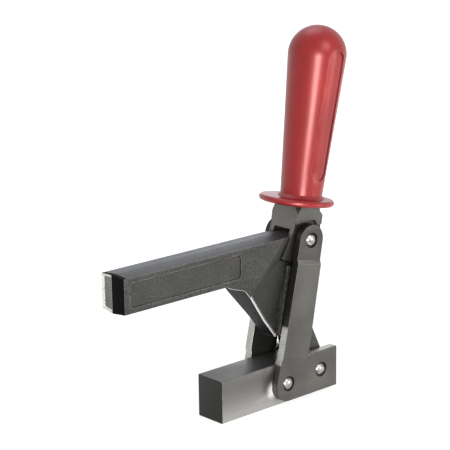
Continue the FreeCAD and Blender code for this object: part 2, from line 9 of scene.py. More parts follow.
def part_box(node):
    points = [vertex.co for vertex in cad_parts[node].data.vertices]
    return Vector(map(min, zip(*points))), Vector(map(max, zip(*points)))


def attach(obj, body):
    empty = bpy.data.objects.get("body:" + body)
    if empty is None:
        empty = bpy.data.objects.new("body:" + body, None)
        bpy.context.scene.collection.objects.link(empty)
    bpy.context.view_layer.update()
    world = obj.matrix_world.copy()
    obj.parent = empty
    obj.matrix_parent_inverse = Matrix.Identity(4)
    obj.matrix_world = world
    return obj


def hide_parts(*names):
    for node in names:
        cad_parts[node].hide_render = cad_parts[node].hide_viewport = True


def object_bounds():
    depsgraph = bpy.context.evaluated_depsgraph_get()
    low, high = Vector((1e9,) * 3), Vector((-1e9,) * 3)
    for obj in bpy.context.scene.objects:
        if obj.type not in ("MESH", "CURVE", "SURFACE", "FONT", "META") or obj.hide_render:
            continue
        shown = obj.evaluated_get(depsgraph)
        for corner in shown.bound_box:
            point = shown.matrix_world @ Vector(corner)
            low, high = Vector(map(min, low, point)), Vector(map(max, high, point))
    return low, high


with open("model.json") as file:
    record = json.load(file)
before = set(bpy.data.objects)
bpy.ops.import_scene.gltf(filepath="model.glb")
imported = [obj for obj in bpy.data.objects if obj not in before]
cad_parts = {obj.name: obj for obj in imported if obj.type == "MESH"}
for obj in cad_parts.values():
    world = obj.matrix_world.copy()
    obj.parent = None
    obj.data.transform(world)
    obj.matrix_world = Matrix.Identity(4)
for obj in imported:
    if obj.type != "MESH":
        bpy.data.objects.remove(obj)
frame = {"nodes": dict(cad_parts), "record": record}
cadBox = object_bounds()
bodyOf = {node: body for body, members in frame["record"]["behaviour"]["bodies"].items() for node in members}
slotOf = {part["node"]: part["material_slot"] for part in frame["record"]["subparts"]}
mm = 0.001
fade = 2 * mm  # over this height one finish passes into the next
print("frame loaded:", len(frame["nodes"]), "nodes")


# colours are written as sRGB hex and turned to linear here
def linear(hexColour):
    channels = [int(hexColour[i:i + 2], 16) / 255 for i in (1, 3, 5)]
    return [c / 12.92 if c <= 0.04045 else ((c + 0.055) / 1.055) ** 2.4 for c in channels] + [1.0]


# one node with its settings; an input is a plain value or another node's output
def addNode(tree, kind, inputs=None, **settings):
    node = tree.nodes.new(kind)
    for name, value in settings.items():
        setattr(node, name, value)
    for name, value in (inputs or {}).items():
        if isinstance(value, bpy.types.NodeSocket):
            tree.links.new(value, node.inputs[name])
        else:
            node.inputs[name].default_value = value
    return node


def emptyMaterial(name):
    material = bpy.data.materials.new(name)
    material.use_nodes = True
    material.node_tree.nodes.clear()
    return material, material.node_tree


def showShader(tree, shader):
    output = addNode(tree, "ShaderNodeOutputMaterial")
    tree.links.new(shader.outputs[0], output.inputs["Surface"])


# where handling rubs a piece bright, and on the gusset and the bar also painted highlights: 1 on its outward
# edges, broken into patches; a lower wornFrom leaves fewer gaps between them
def rubbedEdges(tree, place, widthMm, patchMm, wornFrom=0.38):
    near = addNode(tree, "ShaderNodeAmbientOcclusion", {"Distance": widthMm * mm},
                   inside=True, only_local=True, samples=6)
    edge = addNode(tree, "ShaderNodeMapRange", {
        "Value": near.outputs["AO"], "From Min": 0.92, "From Max": 0.55})
    patches = addNode(tree, "ShaderNodeTexNoise", {"Vector": place, "Scale": 1000 / patchMm, "Detail": 3.0})
    softness = 0.24
    kept = addNode(tree, "ShaderNodeMapRange", {
        "Value": patches.outputs["Fac"], "From Min": wornFrom, "From Max": wornFrom + softness})
    return addNode(tree, "ShaderNodeMath", {0: edge.outputs[0], 1: kept.outputs[0]},
                   operation="MULTIPLY").outputs[0]


# where oil and dust settle, with painted shade: 1 deep in corners and gaps
def oilAndShadeCorners(tree, reachMm):
    openness = addNode(tree, "ShaderNodeAmbientOcclusion", {"Distance": reachMm * mm}, samples=6)
    corner = addNode(tree, "ShaderNodeMapRange", {
        "Value": openness.outputs["AO"], "From Min": 0.85, "From Max": 0.25})
    return corner.outputs[0]


# the thin dark line of painted shade along an inward fold
def foldShadeLines(tree, reachMm):
    openness = addNode(tree, "ShaderNodeAmbientOcclusion", {"Distance": reachMm * mm},
                       samples=12, only_local=True)
    line = addNode(tree, "ShaderNodeMapRange", {
        "Value": openness.outputs["AO"], "From Min": 0.99, "From Max": 0.93, "To Max": 0.85})
    return line.outputs[0]


# drop-forged steel, shot-blasted and oil-blackened: a dark, grainy and slightly pitted skin with rubbed edges
# and with oil and painted shade in its corners; the blasted grain is really about 0.5 mm and is drawn coarser
# to show; rubbedBelow is in metres
forgedSkin = {"dark": "#1b1b1b", "pale": "#4b4a48", "rubbed": "#a3a19c", "oilAndShade": "#0b0b0b",
              "grainMm": 1.4, "pitMm": 3.2, "cloudMm": 18, "metallic": 0.35, "specular": 0.5, "oilAndShadeMm": 5,
              "rubbedShare": 0.6, "rubbedMm": 0.8, "patchMm": 2.4, "wornFrom": 0.38, "rubbedBelow": 1.0}
# the same skin on the gusset and cross leg, painted darker as shade, with a painted white highlight along
# their low edges
shadeAndGlintSkin = {**forgedSkin, "dark": "#1f1f1e", "pale": "#343332", "rubbed": "#ffffff", "rubbedShare": 1.0,
             "rubbedMm": 2.6, "wornFrom": 0.1, "rubbedBelow": 0.0985}
# the underside, painted nearly black as shade
undersideShadeSkin = {**forgedSkin, "dark": "#0f0f0f", "pale": "#1e1e1d", "metallic": 0.0, "specular": 0.12}
# the far slope of the arm's crown, painted paler as light falling on it
litSlopeSkin = {**forgedSkin, "dark": "#2c2d2e", "pale": "#6b6d6f"}
# the pocket sunk in the tip: a paler skin, kept darker than the painted highlight round it as painted shade
# of the recess
pocketShadeSkin = {**forgedSkin, "dark": "#4e4d4b", "pale": "#8f8d8a", "oilAndShade": "#2a2a29"}


def forgedSteel(name, skin):
    material, tree = emptyMaterial(name)
    place = addNode(tree, "ShaderNodeTexCoord").outputs["Object"]
    grain = addNode(tree, "ShaderNodeTexNoise", {
        "Vector": place, "Scale": 1000 / skin["grainMm"], "Detail": 4.0, "Roughness": 0.65})
    cloud = addNode(tree, "ShaderNodeTexNoise", {
        "Vector": place, "Scale": 1000 / skin["cloudMm"], "Detail": 3.0})
    pits = addNode(tree, "ShaderNodeTexVoronoi", {
        "Vector": place, "Scale": 1000 / skin["pitMm"], "Randomness": 1.0}, feature="SMOOTH_F1")
    paleShare = addNode(tree, "ShaderNodeMapRange", {
        "Value": grain.outputs["Fac"], "From Min": 0.34, "From Max": 0.68})
    colour = addNode(tree, "ShaderNodeMix", {
        0: paleShare.outputs[0], 6: linear(skin["dark"]), 7: linear(skin["pale"])}, data_type="RGBA")
    cloudShare = addNode(tree, "ShaderNodeMapRange", {
        "Value": cloud.outputs["Fac"], "From Min": 0.35, "From Max": 0.65, "To Max": 0.4})
    colour = addNode(tree, "ShaderNodeMix", {
        0: cloudShare.outputs[0], 6: colour.outputs[2], 7: linear(skin["dark"])}, data_type="RGBA")
    height = addNode(tree, "ShaderNodeSeparateXYZ", {"Vector": place})
    lowEnough = addNode(tree, "ShaderNodeMapRange", {
        "Value": height.outputs["Z"], "From Min": skin["rubbedBelow"], "From Max": skin["rubbedBelow"] - fade,
        "To Max": skin["rubbedShare"]})
    rubbedShare = addNode(tree, "ShaderNodeMath", {
        0: rubbedEdges(tree, place, skin["rubbedMm"], skin["patchMm"], skin["wornFrom"]),
        1: lowEnough.outputs[0]}, operation="MULTIPLY")
    colour = addNode(tree, "ShaderNodeMix", {
        0: rubbedShare.outputs[0], 6: colour.outputs[2], 7: linear(skin["rubbed"])}, data_type="RGBA")
    colour = addNode(tree, "ShaderNodeMix", {
        0: oilAndShadeCorners(tree, skin["oilAndShadeMm"]), 6: colour.outputs[2], 7: linear(skin["oilAndShade"])},
        data_type="RGBA")
    dull = addNode(tree, "ShaderNodeMapRange", {
        "Value": grain.outputs["Fac"], "From Min": 0.3, "From Max": 0.7, "To Min": 0.4, "To Max": 0.62})
    waves = addNode(tree, "ShaderNodeBump", {
        "Height": cloud.outputs["Fac"], "Distance": 0.5 * mm, "Strength": 0.5})
    pitted = addNode(tree, "ShaderNodeBump", {
        "Height": pits.outputs["Distance"], "Distance": 0.25 * mm, "Strength": 0.35,
        "Normal": waves.outputs[0]})
    blasted = addNode(tree, "ShaderNodeBump", {
        "Height": grain.outputs["Fac"], "Distance": 0.3 * mm, "Strength": 0.7, "Normal": pitted.outputs[0]})
    showShader(tree, addNode(tree, "ShaderNodeBsdfPrincipled", {
        "Metallic": skin["metallic"], "Specular IOR Level": skin["specular"],
        "Base Color": colour.outputs[2], "Roughness": dull.outputs[0], "Normal": blasted.outputs[0]}))
    return material


# pressed plate steel, tumbled and oiled: an even warm grey satin with a faint rolled grain, which is really
# under 0.3 mm and is drawn coarser to show; oil and painted shade in its corners, painted shade along its
# folds
platePress = {"dark": "#4b4a47", "pale": "#5a5955", "rubbed": "#96948f", "oilAndShade": "#131312",
              "grainMm": 0.9, "cloudMm": 24, "metallic": 0.45, "roughness": (0.4, 0.5),
              "rubbedShare": 0.4, "rubbedMm": 0.6, "patchMm": 3.0, "oilAndShadeMm": 5, "foldShadeMm": 1.4}
# the bend by the plate's head, painted paler as light falling on it
litBendPress = {**platePress, "dark": "#575652", "pale": "#666460"}
# the plate's head, painted darker as shade
shadedHeadPress = {**platePress, "dark": "#3a3937", "pale": "#454441"}
# the handle's front web: paler, rougher and less metallic than the plate
paleWebPress = {**platePress, "dark": "#63625e", "pale": "#71706c", "metallic": 0.15,
              "roughness": (0.6, 0.72)}
# the same plate inside the linkage, painted nearly black as shade
innerShadePress = {**platePress, "dark": "#1f1e1d", "pale": "#2c2b29", "rubbed": "#5f5d5a", "metallic": 0.3}


def pressedSteel(name, plate):
    material, tree = emptyMaterial(name)
    place = addNode(tree, "ShaderNodeTexCoord").outputs["Object"]
    along = addNode(tree, "ShaderNodeMapping", {"Vector": place, "Scale": (1, 1, 0.12)})
    grain = addNode(tree, "ShaderNodeTexNoise", {
        "Vector": along.outputs[0], "Scale": 1000 / plate["grainMm"], "Detail": 3.0})
    speckle = addNode(tree, "ShaderNodeTexNoise", {
        "Vector": place, "Scale": 1000 / plate["grainMm"], "Detail": 3.0})
    cloud = addNode(tree, "ShaderNodeTexNoise", {
        "Vector": place, "Scale": 1000 / plate["cloudMm"], "Detail": 4.0})
    paleShare = addNode(tree, "ShaderNodeMapRange", {
        "Value": cloud.outputs["Fac"], "From Min": 0.35, "From Max": 0.65})
    colour = addNode(tree, "ShaderNodeMix", {
        0: paleShare.outputs[0], 6: linear(plate["dark"]), 7: linear(plate["pale"])}, data_type="RGBA")
    grainShare = addNode(tree, "ShaderNodeMapRange", {
        "Value": grain.outputs["Fac"], "From Min": 0.35, "From Max": 0.65, "To Max": 0.3})
    colour = addNode(tree, "ShaderNodeMix", {
        0: grainShare.outputs[0], 6: colour.outputs[2], 7: linear(plate["dark"])}, data_type="RGBA")
    rubbedShare = addNode(tree, "ShaderNodeMapRange", {
        "Value": rubbedEdges(tree, place, plate["rubbedMm"], plate["patchMm"]),
        "To Max": plate["rubbedShare"]})
    colour = addNode(tree, "ShaderNodeMix", {
        0: rubbedShare.outputs[0], 6: colour.outputs[2], 7: linear(plate["rubbed"])}, data_type="RGBA")
    colour = addNode(tree, "ShaderNodeMix", {
        0: oilAndShadeCorners(tree, plate["oilAndShadeMm"]), 6: colour.outputs[2], 7: linear(plate["oilAndShade"])},
        data_type="RGBA")
    colour = addNode(tree, "ShaderNodeMix", {
        0: foldShadeLines(tree, plate["foldShadeMm"]), 6: colour.outputs[2], 7: linear(plate["oilAndShade"])},
        data_type="RGBA")
    dull = addNode(tree, "ShaderNodeMapRange", {
        "Value": speckle.outputs["Fac"], "From Min": 0.3, "From Max": 0.7,
        "To Min": plate["roughness"][0], "To Max": plate["roughness"][1]})
    rolled = addNode(tree, "ShaderNodeBump", {
        "Height": grain.outputs["Fac"], "Distance": 0.04 * mm, "Strength": 0.4})
    tumbled = addNode(tree, "ShaderNodeBump", {
        "Height": speckle.outputs["Fac"], "Distance": 0.06 * mm, "Strength": 0.5,
        "Normal": rolled.outputs[0]})
    showShader(tree, addNode(tree, "ShaderNodeBsdfPrincipled", {
        "Metallic": plate["metallic"], "Base Color": colour.outputs[2], "Roughness": dull.outputs[0],
        "Normal": tumbled.outputs[0]}))
    return material


# sheared plate edge: bright torn metal between two heights in metres, with short marks across the thickness,
# the plate's colour below, painted shade above where the arm shades it, and oil and painted shade in corners;
# the marks are really about 0.3 mm and are drawn coarser to show
shearedEdge = {"bright": "#b9b7b3", "torn": "#9c9a96", "oilAndShade": "#1c1b1a", "markMm": 0.8, "oilAndShadeMm": 5,
               "brightFrom": 0.028, "brightTo": 0.095, "below": "#4b4a47", "above": "#2a2927"}
# on the near plate the bright stretch is shorter
nearEdge = {**shearedEdge, "brightFrom": 0.0335, "brightTo": 0.059}


def shearedSteel(name, edge):
    material, tree = emptyMaterial(name)
    place = addNode(tree, "ShaderNodeTexCoord").outputs["Object"]
    across = addNode(tree, "ShaderNodeMapping", {"Vector": place, "Scale": (1, 0.2, 1)})
    marks = addNode(tree, "ShaderNodeTexNoise", {
        "Vector": across.outputs[0], "Scale": 1000 / edge["markMm"], "Detail": 4.0, "Roughness": 0.7})
    tornShare = addNode(tree, "ShaderNodeMapRange", {
        "Value": marks.outputs["Fac"], "From Min": 0.35, "From Max": 0.65})
    colour = addNode(tree, "ShaderNodeMix", {
        0: tornShare.outputs[0], 6: linear(edge["bright"]), 7: linear(edge["torn"])}, data_type="RGBA")
    height = addNode(tree, "ShaderNodeSeparateXYZ", {"Vector": place})
    # painted shade above the bright stretch
    shadeAboveShare = addNode(tree, "ShaderNodeMapRange", {
        "Value": height.outputs["Z"], "From Min": edge["brightTo"], "From Max": edge["brightTo"] + fade})
    colour = addNode(tree, "ShaderNodeMix", {
        0: shadeAboveShare.outputs[0], 6: colour.outputs[2], 7: linear(edge["above"])}, data_type="RGBA")
    belowShare = addNode(tree, "ShaderNodeMapRange", {
        "Value": height.outputs["Z"], "From Min": edge["brightFrom"], "From Max": edge["brightFrom"] - fade})
    colour = addNode(tree, "ShaderNodeMix", {
        0: belowShare.outputs[0], 6: colour.outputs[2], 7: linear(edge["below"])}, data_type="RGBA")
    colour = addNode(tree, "ShaderNodeMix", {
        0: oilAndShadeCorners(tree, edge["oilAndShadeMm"]), 6: colour.outputs[2], 7: linear(edge["oilAndShade"])},
        data_type="RGBA")
    dull = addNode(tree, "ShaderNodeMapRange", {
        "Value": marks.outputs["Fac"], "From Min": 0.3, "From Max": 0.7, "To Min": 0.34, "To Max": 0.5})
    torn = addNode(tree, "ShaderNodeBump", {
        "Height": marks.outputs["Fac"], "Distance": 0.12 * mm, "Strength": 0.6})
    showShader(tree, addNode(tree, "ShaderNodeBsdfPrincipled", {
        "Metallic": 0.7, "Base Color": colour.outputs[2], "Roughness": dull.outputs[0],
        "Normal": torn.outputs[0]}))
    return material


# cold-drawn bar: a smooth blurred mirror with fine draw lines along its length, painted brighter low down as
# light on its lower side; the lines are really about 0.2 mm apart and are drawn coarser to show; heights and
# places are in metres
drawnBar = {"dark": "#545352", "pale": "#676664", "bright": "#aaa9a6", "rubbed": "#d2cfc9", "oilAndShade": "#0e0e0e",
            "lineMm": 0.8, "cloudMm": 34, "metallic": 0.6, "brightFrom": 0.026, "brightestAt": -0.004,
            "rubbedShare": 0.75, "rubbedMm": 0.6, "patchMm": 5.0, "oilAndShadeMm": 12,
            "cornerGlint": "#fdfcfa", "cornerGlintAt": (0.0425, 0.0127, 0.013), "cornerGlintMm": 9,
            "cornerGlintCoreMm": 2.7, "cornerGlintMetallic": 0.05}


def drawnSteel():
    bar = drawnBar
    material, tree = emptyMaterial("drawnSteel")
    place = addNode(tree, "ShaderNodeTexCoord").outputs["Object"]
    along = addNode(tree, "ShaderNodeMapping", {"Vector": place, "Scale": (0.02, 1, 1)})
    lines = addNode(tree, "ShaderNodeTexNoise", {
        "Vector": along.outputs[0], "Scale": 1000 / bar["lineMm"], "Detail": 4.0, "Roughness": 0.7})
    cloud = addNode(tree, "ShaderNodeTexNoise", {
        "Vector": place, "Scale": 1000 / bar["cloudMm"], "Detail": 3.0})
    paleShare = addNode(tree, "ShaderNodeMapRange", {
        "Value": cloud.outputs["Fac"], "From Min": 0.35, "From Max": 0.65})
    colour = addNode(tree, "ShaderNodeMix", {
        0: paleShare.outputs[0], 6: linear(bar["dark"]), 7: linear(bar["pale"])}, data_type="RGBA")
    height = addNode(tree, "ShaderNodeSeparateXYZ", {"Vector": place})
    # painted light: brighter low down
    paintedLowLight = addNode(tree, "ShaderNodeMapRange", {
        "Value": height.outputs["Z"], "From Min": bar["brightFrom"], "From Max": bar["brightestAt"]},
        interpolation_type="SMOOTHSTEP")
    colour = addNode(tree, "ShaderNodeMix", {
        0: paintedLowLight.outputs[0], 6: colour.outputs[2], 7: linear(bar["bright"])}, data_type="RGBA")
    lineShare = addNode(tree, "ShaderNodeMapRange", {
        "Value": lines.outputs["Fac"], "From Min": 0.35, "From Max": 0.65, "To Max": 0.22})
    colour = addNode(tree, "ShaderNodeMix", {
        0: lineShare.outputs[0], 6: colour.outputs[2], 7: linear(bar["dark"])}, data_type="RGBA")
    # worn edges, kept strong so that they also stand as painted highlights along the bar's corners
    rubbedShare = addNode(tree, "ShaderNodeMapRange", {
        "Value": rubbedEdges(tree, place, bar["rubbedMm"], bar["patchMm"]), "To Max": bar["rubbedShare"]})
    colour = addNode(tree, "ShaderNodeMix", {
        0: rubbedShare.outputs[0], 6: colour.outputs[2], 7: linear(bar["rubbed"])}, data_type="RGBA")
    # painted shade on the top beside the plates, none on the sides
    geometry = addNode(tree, "ShaderNodeNewGeometry")
    facing = addNode(tree, "ShaderNodeSeparateXYZ", {"Vector": geometry.outputs["True Normal"]})
    topShadeShare = addNode(tree, "ShaderNodeMath", {0: oilAndShadeCorners(tree, bar["oilAndShadeMm"]), 1: facing.outputs["Z"]},
                       operation="MULTIPLY", use_clamp=True)
    colour = addNode(tree, "ShaderNodeMix", {
        0: topShadeShare.outputs[0], 6: colour.outputs[2], 7: linear(bar["oilAndShade"])}, data_type="RGBA")
    # a painted highlight by the near plate's front corner: a pale spot that is barely metallic
    spot = addNode(tree, "ShaderNodeVectorMath", {0: place, 1: bar["cornerGlintAt"]}, operation="DISTANCE")
    glintShare = addNode(tree, "ShaderNodeMapRange", {
        "Value": spot.outputs["Value"], "From Min": bar["cornerGlintMm"] * mm,
        "From Max": bar["cornerGlintCoreMm"] * mm}, interpolation_type="SMOOTHSTEP")
    colour = addNode(tree, "ShaderNodeMix", {
        0: glintShare.outputs[0], 6: colour.outputs[2], 7: linear(bar["cornerGlint"])}, data_type="RGBA")
    mirror = addNode(tree, "ShaderNodeMapRange", {
        "Value": glintShare.outputs[0], "To Min": bar["metallic"], "To Max": bar["cornerGlintMetallic"]})
    dull = addNode(tree, "ShaderNodeMapRange", {
        "Value": lines.outputs["Fac"], "From Min": 0.3, "From Max": 0.7, "To Min": 0.28, "To Max": 0.38})
    drawn = addNode(tree, "ShaderNodeBump", {
        "Height": lines.outputs["Fac"], "Distance": 0.02 * mm, "Strength": 0.5})
    showShader(tree, addNode(tree, "ShaderNodeBsdfPrincipled", {
        "Metallic": mirror.outputs[0], "Base Color": colour.outputs[2], "Roughness": dull.outputs[0],
        "Normal": drawn.outputs[0]}))
    return material


# the bar's cut end: painted dark as shade, matt, with upright blade marks
sawnEndShade = {"dark": "#1e1e1d", "pale": "#272725", "markMm": 1.1}


def shadedSawnSteel():
    material, tree = emptyMaterial("shadedSawnSteel")
    place = addNode(tree, "ShaderNodeTexCoord").outputs["Object"]
    upright = addNode(tree, "ShaderNodeMapping", {"Vector": place, "Scale": (1, 1, 0.06)})
    marks = addNode(tree, "ShaderNodeTexNoise", {
        "Vector": upright.outputs[0], "Scale": 1000 / sawnEndShade["markMm"], "Detail": 3.0})
    paleShare = addNode(tree, "ShaderNodeMapRange", {
        "Value": marks.outputs["Fac"], "From Min": 0.35, "From Max": 0.65})
    colour = addNode(tree, "ShaderNodeMix", {
        0: paleShare.outputs[0], 6: linear(sawnEndShade["dark"]), 7: linear(sawnEndShade["pale"])}, data_type="RGBA")
    dull = addNode(tree, "ShaderNodeMapRange", {
        "Value": marks.outputs["Fac"], "From Min": 0.3, "From Max": 0.7, "To Min": 0.5, "To Max": 0.62})
    cut = addNode(tree, "ShaderNodeBump", {
        "Height": marks.outputs["Fac"], "Distance": 0.08 * mm, "Strength": 0.4})
    showShader(tree, addNode(tree, "ShaderNodeBsdfPrincipled", {
        "Metallic": 0.2, "Specular IOR Level": 0.3, "Base Color": colour.outputs[2],
        "Roughness": dull.outputs[0], "Normal": cut.outputs[0]}))
    return material


# painted highlight on the far tip face and along the gusset's low edges: pale steel with scores; the scores
# are really about 0.3 mm and are drawn coarser to show
glintTrim = {"bright": "#f2f0ec", "scored": "#9b9995", "scoreMm": 1.2}


def glintSteel():
    material, tree = emptyMaterial("glintSteel")
    place = addNode(tree, "ShaderNodeTexCoord").outputs["Object"]
    scores = addNode(tree, "ShaderNodeTexNoise", {
        "Vector": place, "Scale": 1000 / glintTrim["scoreMm"], "Detail": 4.0, "Roughness": 0.75})
    scoredShare = addNode(tree, "ShaderNodeMapRange", {
        "Value": scores.outputs["Fac"], "From Min": 0.42, "From Max": 0.66})
    colour = addNode(tree, "ShaderNodeMix", {
        0: scoredShare.outputs[0], 6: linear(glintTrim["bright"]), 7: linear(glintTrim["scored"])},
        data_type="RGBA")
    dull = addNode(tree, "ShaderNodeMapRange", {
        "Value": scores.outputs["Fac"], "From Min": 0.3, "From Max": 0.7, "To Min": 0.28, "To Max": 0.45})
    scored = addNode(tree, "ShaderNodeBump", {
        "Height": scores.outputs["Fac"], "Distance": 0.2 * mm, "Strength": 0.6})
    showShader(tree, addNode(tree, "ShaderNodeBsdfPrincipled", {
        "Metallic": 0.4, "Base Color": colour.outputs[2], "Roughness": dull.outputs[0],
        "Normal": scored.outputs[0]}))
    return material


# painted shade on the tip's near face and top: nearly black, matt and finely crusted
tipShade = {"dark": "#030303", "pale": "#0a0a0a", "crustMm": 1.6}


def shadedTipSteel():
    material, tree = emptyMaterial("shadedTipSteel")
    place = addNode(tree, "ShaderNodeTexCoord").outputs["Object"]
    crust = addNode(tree, "ShaderNodeTexNoise", {
        "Vector": place, "Scale": 1000 / tipShade["crustMm"], "Detail": 5.0, "Roughness": 0.7})
    paleShare = addNode(tree, "ShaderNodeMapRange", {
        "Value": crust.outputs["Fac"], "From Min": 0.35, "From Max": 0.65})
    colour = addNode(tree, "ShaderNodeMix", {
        0: paleShare.outputs[0], 6: linear(tipShade["dark"]), 7: linear(tipShade["pale"])}, data_type="RGBA")
    dull = addNode(tree, "ShaderNodeMapRange", {
        "Value": crust.outputs["Fac"], "From Min": 0.3, "From Max": 0.7, "To Min": 0.5, "To Max": 0.7})
    crusted = addNode(tree, "ShaderNodeBump", {
        "Height": crust.outputs["Fac"], "Distance": 0.25 * mm, "Strength": 0.6})
    showShader(tree, addNode(tree, "ShaderNodeBsdfPrincipled", {
        "Metallic": 0.0, "Specular IOR Level": 0.05, "Base Color": colour.outputs[2],
        "Roughness": dull.outputs[0], "Normal": crusted.outputs[0]}))
    return material


# cold-headed rivet steel: bright and smooth, with the shallow dents of the heading punch, and oil and painted
# shade round its rim
headedPin = {"dark": "#7f7d78", "pale": "#bdbbb6", "dentMm": 2.6, "oilAndShade": "#1a1918", "oilAndShadeMm": 2.5}


def headedSteel():
    material, tree = emptyMaterial("headedSteel")
    place = addNode(tree, "ShaderNodeTexCoord").outputs["Object"]
    dents = addNode(tree, "ShaderNodeTexNoise", {
        "Vector": place, "Scale": 1000 / headedPin["dentMm"], "Detail": 2.0})
    paleShare = addNode(tree, "ShaderNodeMapRange", {
        "Value": dents.outputs["Fac"], "From Min": 0.35, "From Max": 0.65})
    colour = addNode(tree, "ShaderNodeMix", {
        0: paleShare.outputs[0], 6: linear(headedPin["dark"]), 7: linear(headedPin["pale"])},
        data_type="RGBA")
    colour = addNode(tree, "ShaderNodeMix", {
        0: oilAndShadeCorners(tree, headedPin["oilAndShadeMm"]), 6: colour.outputs[2], 7: linear(headedPin["oilAndShade"])},
        data_type="RGBA")
    dull = addNode(tree, "ShaderNodeMapRange", {
        "Value": dents.outputs["Fac"], "From Min": 0.3, "From Max": 0.7, "To Min": 0.24, "To Max": 0.36})
    dented = addNode(tree, "ShaderNodeBump", {
        "Height": dents.outputs["Fac"], "Distance": 0.1 * mm, "Strength": 0.3})
    showShader(tree, addNode(tree, "ShaderNodeBsdfPrincipled", {
        "Metallic": 1.0, "Base Color": colour.outputs[2], "Roughness": dull.outputs[0],
        "Normal": dented.outputs[0]}))
    return material


# sintered bronze bush: warm, oil-soaked and finely porous; the pores are really about 0.05 mm and are drawn
# coarser to show
bushBronze = {"dark": "#5e4325", "pale": "#8f6b3f", "poreMm": 0.5}


def sinteredBronze():
    material, tree = emptyMaterial("sinteredBronze")
    place = addNode(tree, "ShaderNodeTexCoord").outputs["Object"]
    pores = addNode(tree, "ShaderNodeTexNoise", {
        "Vector": place, "Scale": 1000 / bushBronze["poreMm"], "Detail": 2.0})
    paleShare = addNode(tree, "ShaderNodeMapRange", {
        "Value": pores.outputs["Fac"], "From Min": 0.35, "From Max": 0.65})
    colour = addNode(tree, "ShaderNodeMix", {
        0: paleShare.outputs[0], 6: linear(bushBronze["dark"]), 7: linear(bushBronze["pale"])},
        data_type="RGBA")
    dull = addNode(tree, "ShaderNodeMapRange", {
        "Value": pores.outputs["Fac"], "From Min": 0.3, "From Max": 0.7, "To Min": 0.36, "To Max": 0.52})
    porous = addNode(tree, "ShaderNodeBump", {
        "Height": pores.outputs["Fac"], "Distance": 0.05 * mm, "Strength": 0.4})
    showShader(tree, addNode(tree, "ShaderNodeBsdfPrincipled", {
        "Metallic": 0.95, "Base Color": colour.outputs[2], "Roughness": dull.outputs[0],
        "Normal": porous.outputs[0]}))
    return material


# injection-moulded red vinyl: deep satin red, paler where its edges are worn, with a very fine spark-eroded
# texture, which is really about 0.1 mm and is drawn coarser to show
redVinyl = {"deep": "#7c1216", "bright": "#8f181c", "rubbed": "#cc5653", "shade": "#4d0d10",
            "textureMm": 0.7, "cloudMm": 40, "rubbedShare": 0.4, "rubbedMm": 0.9, "patchMm": 6.0,
            "shadeMm": 2.2, "ior": 1.5, "specular": 0.85, "glossTint": "#ffbdb9"}


def mouldedVinyl():
    vinyl = redVinyl
    material, tree = emptyMaterial("mouldedVinyl")
    place = addNode(tree, "ShaderNodeTexCoord").outputs["Object"]
    texture = addNode(tree, "ShaderNodeTexNoise", {
        "Vector": place, "Scale": 1000 / vinyl["textureMm"], "Detail": 2.0})
    cloud = addNode(tree, "ShaderNodeTexNoise", {
        "Vector": place, "Scale": 1000 / vinyl["cloudMm"], "Detail": 2.0})
    brightShare = addNode(tree, "ShaderNodeMapRange", {
        "Value": cloud.outputs["Fac"], "From Min": 0.3, "From Max": 0.7})
    colour = addNode(tree, "ShaderNodeMix", {
        0: brightShare.outputs[0], 6: linear(vinyl["deep"]), 7: linear(vinyl["bright"])}, data_type="RGBA")
    rubbedShare = addNode(tree, "ShaderNodeMapRange", {
        "Value": rubbedEdges(tree, place, vinyl["rubbedMm"], vinyl["patchMm"]),
        "To Max": vinyl["rubbedShare"]})
    colour = addNode(tree, "ShaderNodeMix", {
        0: rubbedShare.outputs[0], 6: colour.outputs[2], 7: linear(vinyl["rubbed"])}, data_type="RGBA")
    colour = addNode(tree, "ShaderNodeMix", {
        0: oilAndShadeCorners(tree, vinyl["shadeMm"]), 6: colour.outputs[2], 7: linear(vinyl["shade"])},
        data_type="RGBA")
    dull = addNode(tree, "ShaderNodeMapRange", {
        "Value": texture.outputs["Fac"], "From Min": 0.3, "From Max": 0.7, "To Min": 0.3, "To Max": 0.38})
    eroded = addNode(tree, "ShaderNodeBump", {
        "Height": texture.outputs["Fac"], "Distance": 0.05 * mm, "Strength": 0.35})
    showShader(tree, addNode(tree, "ShaderNodeBsdfPrincipled", {
        "Metallic": 0.0, "IOR": vinyl["ior"], "Specular IOR Level": vinyl["specular"],
        "Specular Tint": linear(vinyl["glossTint"]), "Base Color": colour.outputs[2],
        "Roughness": dull.outputs[0], "Normal": eroded.outputs[0]}))
    return material


# a piece's own finish, by its material slot
finishes = {
    "forging": forgedSteel("forgedSteel", forgedSkin),
    "plate_steel": pressedSteel("pressedSteel", platePress),
    "bar_steel": drawnSteel(),
    "rivet_steel": headedSteel(),
    "bush_bronze": sinteredBronze(),
    "grip_plastic": mouldedVinyl(),
}
# finishes for some faces of a piece
faceFinishes = {
    "sheared": shearedSteel("shearedSteel", shearedEdge),
    "nearSheared": shearedSteel("nearSheared", nearEdge),
    "shadedSawnEnd": shadedSawnSteel(),
    "glint": glintSteel(),
    "shadedTip": shadedTipSteel(),
    "shadeAndGlint": forgedSteel("shadeAndGlintForging", shadeAndGlintSkin),
    "undersideShade": forgedSteel("undersideShadeForging", undersideShadeSkin),
    "litSlope": forgedSteel("litSlopeForging", litSlopeSkin),
    "pocketShade": forgedSteel("pocketShadeForging", pocketShadeSkin),
    "innerShade": pressedSteel("innerShadeSteel", innerShadePress),
    "litBend": pressedSteel("litBendSteel", litBendPress),
    "shadedHead": pressedSteel("shadedHeadSteel", shadedHeadPress),
    "paleWeb": pressedSteel("paleWebSteel", paleWebPress),
}
for nodeName, node in frame["nodes"].items():
    node.data.materials.clear()
    node.data.materials.append(finishes[slotOf[nodeName]])
print("finishes made:", len(finishes) + len(faceFinishes))


# a piece takes its solid's place and body
def put(piece, nodeName):
    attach(piece, bodyOf[nodeName])
    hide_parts(nodeName)


